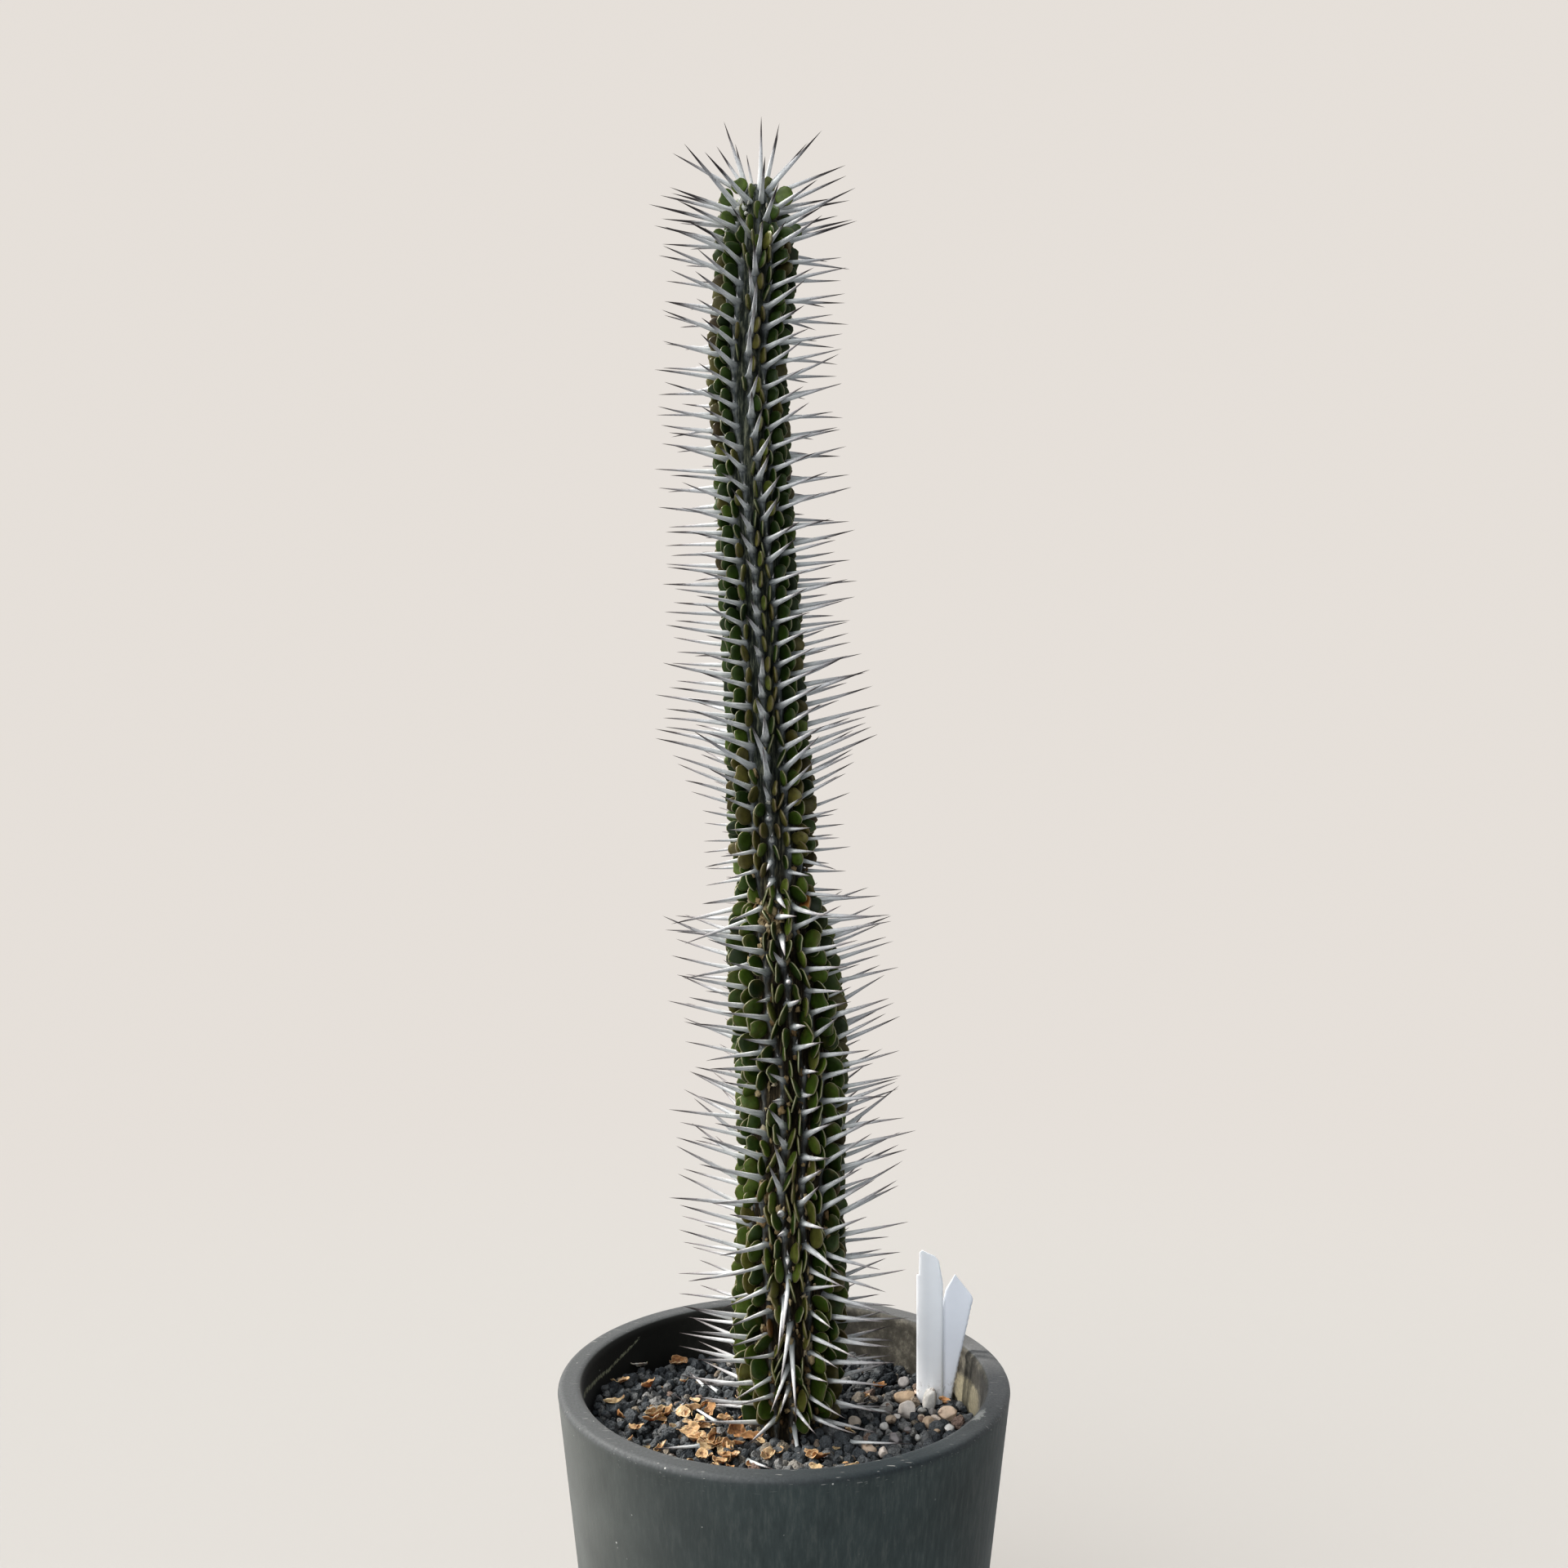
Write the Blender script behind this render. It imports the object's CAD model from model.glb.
"""The looks of a potted Alluaudia montagnacii, fitted over its CAD solids by rules with fixed seeds."""

from math import cos, hypot, pi, radians, sin, sqrt

import bmesh
import bpy
import numpy as np
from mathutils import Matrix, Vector, noise


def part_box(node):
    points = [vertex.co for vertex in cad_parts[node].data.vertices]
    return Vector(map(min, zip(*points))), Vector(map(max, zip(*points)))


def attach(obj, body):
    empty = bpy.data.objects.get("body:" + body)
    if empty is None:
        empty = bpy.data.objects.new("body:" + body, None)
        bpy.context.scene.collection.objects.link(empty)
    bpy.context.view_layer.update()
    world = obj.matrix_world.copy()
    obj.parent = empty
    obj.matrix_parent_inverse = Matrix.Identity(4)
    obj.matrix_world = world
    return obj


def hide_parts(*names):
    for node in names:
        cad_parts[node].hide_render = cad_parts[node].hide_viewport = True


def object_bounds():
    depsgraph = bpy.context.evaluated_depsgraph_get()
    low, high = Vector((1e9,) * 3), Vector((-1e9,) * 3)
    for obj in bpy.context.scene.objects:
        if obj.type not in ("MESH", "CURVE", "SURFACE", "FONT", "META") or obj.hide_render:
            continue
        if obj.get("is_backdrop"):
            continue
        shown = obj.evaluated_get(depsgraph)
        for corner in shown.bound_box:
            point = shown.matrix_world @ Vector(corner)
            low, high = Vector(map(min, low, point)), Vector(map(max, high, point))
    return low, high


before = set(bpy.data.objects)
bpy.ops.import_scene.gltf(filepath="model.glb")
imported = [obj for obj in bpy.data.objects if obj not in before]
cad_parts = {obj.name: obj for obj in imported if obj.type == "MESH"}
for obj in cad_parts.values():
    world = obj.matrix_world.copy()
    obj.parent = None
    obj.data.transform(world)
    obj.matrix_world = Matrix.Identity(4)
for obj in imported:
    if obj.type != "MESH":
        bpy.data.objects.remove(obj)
cad_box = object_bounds()

# Lengths below are in millimetres, and MM turns them into Blender's metres.
MM = 0.001
UP = np.array([0, 0, 1.0])

# The pot
POT_HEIGHT = 202
RIM_RADIUS = 105
FOOT_RADIUS = 82
MOUTH_RADIUS = 93.4
FLOOR_RADIUS = 74.5
FLOOR_HEIGHT = 12
FOOT_RING_INNER_RADIUS = 72
BASE_RECESS = 4
DRAIN_RADIUS = 11
RIM_ROUNDING = 2.6
MOUTH_ROUNDING = 3.6
WALL_TOP = 196
WALL_FOOT = 18
POT_SIDES = 240

# The gravel, whose level climbs a little towards the left wall
SOIL_LEVEL = 178
SOIL_RISE = 8
SOIL_RISE_FROM_X = 55
SOIL_RISE_TO_X = 90

# The stem: its ends, the waist between its two seasons, and where it gets younger and tidier
STEM_FOOT = 150
STEM_TIP = 759
WAIST = 430
YOUNG_FROM = 500
# Below this height the front spines splay and droop
SPLAYED_BELOW = 262

# Each list gives a height on the stem and the value there; values between are blended.
AXIS_X = [
    (178, 2.3), (348, 3.8), (425, -3.8), (482, -6.5), (598, -13.4), (674, -17.3), (732, -12.3), (759, -13.4),
]
AXIS_Y = [(178, 0), (348, 2), (482, 0), (598, -2), (674, -1), (759, 1)]
BARK_RADIUS = [
    (118, 9), (170, 12), (200, 16), (222, 18), (387, 18), (412, 14), (425, 12), (445, 13), (700, 12),
    (738, 10), (752, 7.5), (759, 4),
]
LEAFY_RADIUS = [
    (190, 25), (214, 29), (233, 28.2), (272, 26.6), (310, 26.3), (367, 29.5), (387, 28.2), (406, 25.9),
    (425, 19.2), (444, 21.5), (463, 22.4), (502, 20.5), (617, 19.2), (674, 19.6), (732, 21), (759, 20),
]
SPINE_LENGTH = [
    (190, 36), (225, 37), (260, 35), (280, 41), (325, 41), (340, 31), (352, 37), (389, 38), (400, 42),
    (421, 41), (430, 23), (463, 23), (486, 42), (513, 42), (535, 33), (700, 33), (740, 38), (759, 40),
]
# Degrees by which a spine rises above a square with the stem
SPINE_RISE = [
    (190, 2), (205, 6), (235, 2), (262, 2), (275, 15), (300, 20), (325, 20), (345, 13), (380, 12), (405, 14),
    (418, 0), (428, -10), (442, -6), (460, 5), (470, 20), (485, 21), (500, 12), (530, 9), (560, 6), (640, 5),
    (700, 5), (727, 6), (740, 14), (750, 30),
]
LEAF_HEIGHT = [(190, 11), (300, 11.4), (400, 10.4), (440, 8.8), (700, 8.2), (759, 8.6)]

# The stem grew in two seasons, with one row fewer above the waist. Each part has rows of nodes; the next row
# starts a share of a tier higher, and the rows wind a little round the stem.
STEM_PARTS = [
    {"rows": 12, "shift": 1 / 2, "low": 182, "high": 428, "pitch": 10.0, "loose": 1.0,
     "turn": [(178, 5), (250, -4), (280, -14), (340, -13), (370, -26), (428, -28)]},
    {"rows": 11, "shift": 5 / 11, "low": 434, "high": 746, "pitch": 9.5, "loose": 0.45,
     "turn": [(430, -4), (575, -4), (600, -13), (615, -18), (650, -29), (700, -30), (759, -27)]},
]
# From this height upwards the crown's own spines and leaves stand in front, up to this turn to each side
CROWN_FROM = 728
CROWN_TURN = 108


def value_at(pairs, height):
    """The blended value of a height list."""
    return np.interp(height, *zip(*pairs))


def axis_point(height):
    return np.stack([value_at(AXIS_X, height), value_at(AXIS_Y, height), height], -1)


def level_direction(degrees):
    """A level direction, turned from the front (-Y) towards the right (+X)."""
    angle = np.radians(degrees)
    return np.stack([np.sin(angle), -np.cos(angle), 0 * angle], -1)


def turned(a, b, degrees):
    """Two directions or lengths at a right angle, both turned by some degrees, a towards b."""
    angle = radians(degrees)
    return a * cos(angle) + b * sin(angle), b * cos(angle) - a * sin(angle)


def wrapped(angle, full=360):
    """The same angle between half a turn to the left and half a turn to the right."""
    return (angle + full / 2) % full - full / 2


def circle(sides):
    return np.arange(sides) * 2 * pi / sides


def smoothstep(value, low, high):
    t = np.clip((value - low) / (high - low), 0, 1)
    return t * t * (3 - 2 * t)


def bell(value, width, power=2):
    return np.exp(-((value / width) ** power))


def ground_level(x):
    return SOIL_LEVEL + SOIL_RISE * smoothstep(-x, SOIL_RISE_FROM_X, SOIL_RISE_TO_X)


def wall_radius(height):
    """Radius of the pot's inner wall."""
    return np.interp(height, [WALL_FOOT, WALL_TOP], [FLOOR_RADIUS, MOUTH_RADIUS])


def unit(vector):
    return vector / np.linalg.norm(vector)


def roughness_at(points, size, seed, octaves=3):
    """Smooth noise from -1 to 1 at each point; size is its wavelength, one number or three."""
    shift = Vector((17.3 * seed, -9.1 * seed, 5.7 * seed))
    return np.array([noise.fractal(Vector(point) + shift, 1.0, 2.0, octaves) for point in points / size])


def wavy(draw, angles, waves):
    """Random waves round an outline: how many of each kind, and how deep."""
    return sum(depth * np.sin(count * angles + draw.uniform(0, 6)) for count, depth in waves)


def ring_faces(rings, sides):
    """Triangles between neighbouring closed rings of points."""
    ring = np.arange(rings - 1)[:, None] * sides
    side = np.arange(sides)[None, :]
    a = ring + side
    b = ring + (side + 1) % sides
    faces = [[a, b, b + sides], [a, b + sides, a + sides]]
    return np.concatenate([np.stack(corners, -1).reshape(-1, 3) for corners in faces])


def capped_faces(rings, sides):
    """Triangles of rings closed by one point before the first ring and one after the last."""
    side = np.arange(sides)
    following = (side + 1) % sides
    last = 1 + (rings - 1) * sides
    start = np.stack([0 * side, 1 + following, 1 + side], -1)
    end = np.stack([last + side, last + following, 0 * side + last + sides], -1)
    return np.concatenate([start, ring_faces(rings, sides) + 1, end])


def put(name, data):
    """An object that holds the data, put into the scene."""
    held = bpy.data.objects.new(name, data)
    bpy.context.scene.collection.objects.link(held)
    return held


def make_object(name, points, faces, look):
    mesh = bpy.data.meshes.new(name)
    mesh.from_pydata((points * MM).tolist(), [], faces.tolist())
    mesh.shade_smooth()
    mesh.materials.append(look)
    return put(name, mesh)


class Heap:
    """Small meshes gathered into one piece, with named values at their points."""

    def __init__(self):
        self.points = []
        self.faces = []
        self.values = {}
        self.count = 0

    def add(self, points, faces, **values):
        self.points.append(points)
        self.faces.append(faces + self.count)
        self.count += len(points)
        for name, value in values.items():
            column = np.asarray(value, float)
            shape = (len(points), 3) if column.shape[-1:] == (3,) else (len(points),)
            self.values.setdefault(name, []).append(np.broadcast_to(column, shape))

    def add_closed(self, start, rings, end, order=1, **values):
        """Adds rings of points, closed by a point at each end; order -1 turns the faces round."""
        faces = capped_faces(*rings.shape[:2])[:, ::order]
        self.add(np.vstack([start, rings.reshape(-1, 3), end]), faces, **values)

    def build(self, name, look, slot, *replaced):
        piece = make_object(name, np.concatenate(self.points), np.concatenate(self.faces), look)
        for value_name, parts in self.values.items():
            column = np.concatenate(parts)
            kind, field = ("FLOAT_VECTOR", "vector") if column.ndim == 2 else ("FLOAT", "value")
            piece.data.attributes.new(value_name, kind, "POINT").data.foreach_set(field, column.ravel())
        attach(piece, "root")
        if replaced:
            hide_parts(*replaced)
        return piece


class Signal:
    """What comes out of a node of a material, with the steps that may follow it."""

    def __init__(self, look, socket):
        self.look = look
        self.socket = socket

    def maths(self, operation, other):
        return self.look.add("Math", "Value", {0: self, 1: other}, operation=operation)

    def __add__(self, other):
        return self.maths("ADD", other)

    def __sub__(self, other):
        return self.maths("SUBTRACT", other)

    def __mul__(self, other):
        return self.maths("MULTIPLY", other)

    def between(self, low, high):
        """0 below low, 1 above high and smooth between; falls instead if low is the higher one."""
        inputs = {"Value": self, "From Min": min(low, high), "From Max": max(low, high)}
        inputs |= {"To Min": float(low > high), "To Max": float(low < high)}
        return self.look.add("MapRange", "Result", inputs, interpolation_type="SMOOTHSTEP")

    def ramp(self, *stops):
        """Colours blended between stops; each is a position with its red, green and blue."""
        blended = self.look.add("ValToRGB", "Color", {"Fac": self})
        elements = blended.socket.node.color_ramp.elements
        while len(elements) < len(stops):
            elements.new(0.5)
        for element, (position, *colour) in zip(elements, stops):
            element.position = position
            element.color = (*colour, 1)
        return blended


class Look:
    """A node material, with short ways to add nodes."""

    def __init__(self, name, roughness, specular):
        self.material = bpy.data.materials.new(name)
        self.material.use_nodes = True
        self.tree = self.material.node_tree
        self.shader = self.tree.nodes["Principled BSDF"].inputs
        self.shader["Roughness"].default_value = roughness
        self.shader["Specular IOR Level"].default_value = specular
        self.place = self.add("TexCoord", "Object", {})

    def add(self, kind, output, inputs, **settings):
        """Adds a node, feeds its inputs and gives what comes out of it."""
        node = self.tree.nodes.new("ShaderNode" + kind)
        for name, value in settings.items():
            setattr(node, name, value)
        for name, source in inputs.items():
            self.feed(node.inputs[name], source)
        return Signal(self, node.outputs[output])

    def feed(self, socket, source):
        """Links a signal to a socket, or sets the socket to a number or a colour."""
        if isinstance(source, Signal):
            self.tree.links.new(source.socket, socket)
        else:
            socket.default_value = (*source, 1) if socket.type == "RGBA" else source

    def value(self, name, output="Fac"):
        """A value that the mesh has at its points."""
        return self.add("Attribute", output, {}, attribute_name=name)

    def noise(self, scale, detail=4, roughness=0.55, source=None):
        """Smooth noise from 0 to 1; a scale of three numbers stretches it."""
        place = source or self.place
        if isinstance(scale, tuple):
            place = self.add("Mapping", "Vector", {"Vector": place, "Scale": scale})
            scale = 1
        inputs = {"Vector": place, "Scale": scale, "Detail": detail, "Roughness": roughness}
        return self.add("TexNoise", "Fac", inputs)

    def cells(self, scale):
        """The distance to the nearest of scattered points."""
        return self.add("TexVoronoi", "Distance", {"Vector": self.place, "Scale": scale})

    def mix(self, factor, a, b, blend="MIX"):
        return self.add("Mix", 2, {0: factor, 6: a, 7: b}, data_type="RGBA", blend_type=blend)

    def mottled(self, colour, amount, source):
        """The colour made darker and lighter by a noise from 0 to 1."""
        grey = source.ramp((0.25, *[1 - amount] * 3), (0.75, *[1 + amount] * 3))
        return self.mix(1, colour, grey, "MULTIPLY")

    def height(self):
        """The height of the place, in metres."""
        return self.add("SeparateXYZ", "Z", {0: self.place})

    def far(self):
        """The distance of the place from the pot's foot, in metres."""
        return self.add("VectorMath", "Value", {0: self.place}, operation="LENGTH")

    def colour(self, source):
        self.feed(self.shader["Base Color"], source)

    def bump(self, source, strength, depth):
        inputs = {"Height": source, "Strength": strength, "Distance": depth * MM}
        self.feed(self.shader["Normal"], self.add("Bump", "Normal", inputs))

    def shine_through(self, weight, radius):
        """Lets some light into the surface, as far as radius says for red, green and blue."""
        for name, value in (("Weight", weight), ("Radius", radius), ("Scale", MM)):
            self.shader["Subsurface " + name].default_value = value


# Materials
FLOOR_COLOUR = (0.370, 0.353, 0.334)
WALL_GLOW = (0.67, 0.634, 0.598)
BLACK = (0, 0, 0)


def leaf_look():
    look = Look("leaf_green", 0.42, 0.4)
    tone = look.value("tone")
    rim = look.value("rim")
    face = tone.ramp(
        (0, 0.007, 0.018, 0.003), (0.25, 0.03, 0.06, 0.005), (0.42, 0.086, 0.126, 0.016),
        (0.56, 0.12, 0.108, 0.028), (0.7, 0.066, 0.056, 0.013), (0.86, 0.036, 0.015, 0.01),
        (1, 0.38, 0.17, 0.045),
    )
    face = look.mottled(face, 0.38, look.noise(260, 5))
    face = look.mottled(face, 0.18, look.noise(1900, 3))
    old = look.height().between(0.46, 0.40) * 0.12
    worn = rim * 0.5 + look.noise(150) + old
    face = look.mix(worn.between(0.6, 0.9) * 0.6, face, (0.09, 0.072, 0.018))
    rim_tone = look.noise(420) * 0.55 + tone * 0.5
    rim_colour = rim_tone.ramp(
        (0.25, 0.27, 0.275, 0.175), (0.45, 0.21, 0.19, 0.115), (0.75, 0.1, 0.05, 0.025),
    )
    rim_colour = look.mix(look.height().between(0.44, 0.54), rim_colour, (0.62, 0.62, 0.56), "MULTIPLY")
    ragged = rim + look.noise(900) * 0.2
    look.colour(look.mix(ragged.between(0.72, 0.97), face, rim_colour))
    look.shine_through(0.12, (0.5, 1.0, 0.2))
    look.bump(look.noise(1300), 0.35, 0.12)
    return look.material


def spine_look():
    look = Look("spine_grey", 0.7, 0.12)
    along = look.value("along")
    grain = look.value("grain", "Vector")
    body = along.ramp(
        (0, 0.18, 0.19, 0.19), (0.07, 0.4, 0.41, 0.405), (0.24, 0.65, 0.65, 0.63),
        (0.48, 0.55, 0.54, 0.535), (0.72, 0.34, 0.315, 0.31), (1, 0.12, 0.1, 0.095),
    )
    streak = look.noise((1.6, 1.6, 0.16), source=grain)
    body = look.mottled(body, 0.32, streak)
    darkening = along + (streak - 0.5) * 0.75
    charred = (darkening - look.value("dark_from")).between(0, 0.16)
    body = look.mix(charred * 0.92, body, (0.04, 0.032, 0.032))
    speck = look.noise((1.5, 1.5, 0.8), 5, 0.7, grain)
    speckled = (speck + along * 0.12).between(0.65, 0.71)
    look.colour(look.mix(speckled * 0.75, body, (0.06, 0.05, 0.045)))
    look.bump(streak, 0.35, 0.15)
    return look.material


def bark_look():
    look = Look("bark_grey_brown", 0.9, 0.15)
    fibres = look.noise((900, 900, 110), 6, 0.65)
    old = fibres.ramp(
        (0.32, 0.006, 0.005, 0.003), (0.5, 0.026, 0.02, 0.012), (0.62, 0.07, 0.053, 0.03),
        (0.76, 0.26, 0.21, 0.12),
    )
    young = fibres.ramp((0.34, 0.006, 0.008, 0.007), (0.5, 0.03, 0.036, 0.028), (0.72, 0.2, 0.2, 0.14))
    youth = look.height() + (look.noise(130) - 0.5) * 0.12
    bark = look.mix(youth.between(0.38, 0.5), old, young)
    corky = fibres.ramp((0.35, 0.08, 0.086, 0.088), (0.55, 0.17, 0.18, 0.18), (0.75, 0.3, 0.3, 0.27))
    look.colour(look.mix(look.value("cushion").between(0.15, 0.85), bark, corky))
    look.bump(fibres, 0.8, 0.8)
    return look.material


def tuft_look():
    look = Look("tuft_dry", 0.95, 0.1)
    tuft = look.value("tone").ramp(
        (0, 0.6, 0.59, 0.54), (0.35, 0.44, 0.35, 0.21), (0.7, 0.25, 0.17, 0.085), (1, 0.09, 0.055, 0.028),
    )
    look.colour(look.mottled(tuft, 0.4, look.noise(1400, 5, 0.7)))
    look.bump(look.noise(1800), 1, 0.6)
    return look.material


def gravel_look():
    look = Look("gravel_lava", 0.95, 0.2)
    grain = look.value("tone").ramp(
        (0, 0.032, 0.037, 0.042), (0.45, 0.092, 0.098, 0.102), (0.8, 0.22, 0.214, 0.204),
        (0.92, 0.23, 0.195, 0.15), (1, 0.2, 0.14, 0.115),
    )
    pores = look.cells(1100)
    crumbs = look.noise(750, 6, 0.7)
    grain = look.mottled(grain, 0.6, crumbs)
    look.colour(look.mix(pores.between(0.3, 0.06), grain, (0.012, 0.012, 0.013)))
    look.bump(crumbs + pores * 0.7, 1, 0.6)
    return look.material


def bed_look():
    look = Look("gravel_bed", 0.97, 0.15)
    crumbs = look.noise(900, 6, 0.7)
    look.colour(crumbs.ramp((0.35, 0.008, 0.008, 0.009), (0.7, 0.045, 0.045, 0.045)))
    look.bump(crumbs, 0.9, 0.8)
    return look.material


def pebble_look():
    look = Look("pebble_worn", 0.62, 0.4)
    stone = look.value("tone").ramp(
        (0, 0.15, 0.13, 0.135), (0.2, 0.3, 0.29, 0.27), (0.4, 0.5, 0.48, 0.45), (0.6, 0.44, 0.32, 0.21),
        (0.8, 0.58, 0.46, 0.37), (1, 0.78, 0.75, 0.71),
    )
    stone = look.mottled(stone, 0.25, look.noise(330, 6, 0.65))
    stone = look.mix(look.noise(210, 3).between(0.6, 0.68), stone, (0.17, 0.11, 0.08))
    grit = look.noise(2400, 3)
    look.colour(look.mix(grit.between(0.66, 0.74), stone, (0.06, 0.05, 0.05)))
    look.bump(look.noise(900, 5) + grit, 0.4, 0.25)
    return look.material


def dry_leaf_look():
    look = Look("dry_leaf_tan", 0.75, 0.25)
    paper = look.value("tone").ramp(
        (0, 0.26, 0.122, 0.046), (0.3, 0.38, 0.228, 0.112), (0.6, 0.53, 0.378, 0.222),
        (0.8, 0.2, 0.15, 0.08), (1, 0.58, 0.56, 0.52),
    )
    paper = look.mottled(paper, 0.4, look.noise(420, 6, 0.65))
    paper = look.mix(look.noise(190, 5).between(0.56, 0.7), paper, (0.64, 0.5, 0.34))
    paper = look.mix(look.noise(310).between(0.52, 0.66) * 0.8, paper, (0.11, 0.045, 0.02))
    edge = look.value("rim").between(0.72, 1)
    look.colour(look.mix(edge * 0.25, paper, (0.66, 0.52, 0.32)))
    look.shine_through(0.1, (1.0, 0.45, 0.15))
    look.bump(look.noise(800, 5), 0.5, 0.3)
    return look.material


def tag_look(tint):
    look = Look("tag_plastic", 0.36, 0.5)
    film = look.mottled(tint, 0.035, look.noise(60, 3))
    low = look.height().between((SOIL_LEVEL + 14) * MM, (SOIL_LEVEL + 1) * MM)
    soiled = low * look.noise(420, 6, 0.7).between(0.5, 0.72)
    look.colour(look.mix(soiled * 0.7, film, (0.2, 0.17, 0.13)))
    look.bump(look.noise((2600, 2600, 160), 2), 0.06, 0.05)
    return look.material


def pot_look():
    look = Look("pot_matt", 0.66, 0.3)
    streaks = look.noise((430, 430, 70), 6, 0.7)
    body = streaks.ramp((0.3, 0.029, 0.04, 0.04), (0.5, 0.041, 0.054, 0.053), (0.75, 0.08, 0.091, 0.084))
    body = look.mix(look.value("weathered"), body, (0.098, 0.099, 0.089))
    body = look.mottled(body, 0.32, look.noise(16))
    dust = look.noise((900, 900, 500), 5, 0.7)
    rim = look.mix(look.value("dusty"), (0.012, 0.019, 0.022), (0.122, 0.122, 0.12))
    body = look.mix(look.value("rim"), body, look.mottled(rim, 0.35, dust))
    scratches = look.noise((110, 900, 900), 2).between(0.67, 0.71) * look.value("edge")
    body = look.mix(scratches * 0.6, body, (0.3, 0.29, 0.27))
    wall = look.noise(150, 7, 0.72).ramp(
        (0.3, 0.03, 0.027, 0.021), (0.52, 0.074, 0.068, 0.055), (0.72, 0.19, 0.175, 0.14),
    )
    wall = look.mix(look.value("bleached"), (0.004, 0.005, 0.004), wall)
    body = look.mix(look.value("inside"), body, wall)
    blotches = look.noise(480, 6, 0.75)
    crust = (look.value("crust") * 0.8 + blotches * 2).between(1.5, 1.85)
    body = look.mix(crust * 0.9, body, look.mottled((0.28, 0.29, 0.2), 0.5, dust))
    ochre = (look.value("ochre") + blotches * 1.2).between(0.85, 1.35)
    body = look.mix(ochre * 0.85, body, look.mottled((0.27, 0.24, 0.165), 0.4, blotches))
    scuff = (look.value("scuff") + blotches * 1.8).between(1.45, 1.8)
    body = look.mix(scuff * 0.65, body, (0.36, 0.36, 0.33))
    specks = look.cells(190).between(0.1, 0.05) * look.noise(75, 2).between(0.55, 0.62)
    look.colour(look.mix(specks * 0.75, body, (0.6, 0.58, 0.54)))
    look.shader["Sheen Weight"].default_value = 0.12
    look.shader["Sheen Roughness"].default_value = 0.35
    look.bump(dust + blotches * 0.6, 0.35, 0.25)
    return look.material


def floor_look():
    """Pale paper round the pot, lit by the lamps, that glows evenly in the same tone further out."""
    look = Look("studio_floor", 0.95, 0.0)
    bend = look.far().between(0.5, 1.7)
    look.colour(look.mix(bend, FLOOR_COLOUR, BLACK))
    look.feed(look.shader["Emission Color"], look.mix(bend, BLACK, WALL_GLOW))
    look.shader["Emission Strength"].default_value = 1
    return look.material


# The stem's nodes, from which everything on it grows
AXIS_STEP = 6
# How far a node of a loose row strays: millimetres up or down, and degrees round the stem
STRAY_HEIGHT = 1.3
STRAY_TURN = 3


def stem_direction(height):
    """The direction in which the stem grows at a height."""
    return unit(axis_point(height + AXIS_STEP) - axis_point(height - AXIS_STEP))


def outward_at(height, degrees):
    """The direction away from the stem, square with it."""
    level = level_direction(degrees)
    along = stem_direction(height)
    return unit(level - along * (level @ along))


def raised(height, degrees, rise):
    """The direction away from the stem, raised towards its tip by some degrees."""
    return turned(outward_at(height, degrees), stem_direction(height), rise)[0]


def find_nodes(draw):
    """Every node of the stem: its height, its direction round the stem and how loose its row is."""
    nodes = []
    for part in STEM_PARTS:
        loose = part["loose"]
        for row in range(part["rows"]):
            first = part["low"] + (row * part["shift"] % 1) * part["pitch"]
            for tier in np.arange(first, part["high"], part["pitch"]):
                height = tier + loose * draw.uniform(-STRAY_HEIGHT, STRAY_HEIGHT)
                turn = value_at(part["turn"], height) + loose * draw.normal(0, STRAY_TURN)
                degrees = wrapped(360 * row / part["rows"] + turn)
                if height < CROWN_FROM or abs(degrees) > CROWN_TURN:
                    nodes.append({"height": height, "degrees": degrees, "loose": loose})
    return nodes


# The bark
BARK_SIDES = 132
BARK_RINGS = 360
FURROWS = np.array([2.2, 2.2, 12.0])
CRUMBS = np.array([1.1, 1.1, 1.9])
CUSHION_WIDTH = 2.1
CUSHION_ABOVE = 2.0
CUSHION_BELOW = 4.6
CUSHION_REACH = 13
RIB_WIDTH = 1.5
# A rib runs on this far below and above its row
RIB_BELOW = 30
RIB_ABOVE = 20
TAPER = 25
# How far each kind of relief stands out, and how much finer young bark is
CUSHION_HEIGHT = 1.5
RIB_HEIGHT = 0.9
FURROW_HEIGHT = 0.85
CRUMB_HEIGHT = 0.35
YOUNG_SHARE = 0.55


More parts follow.
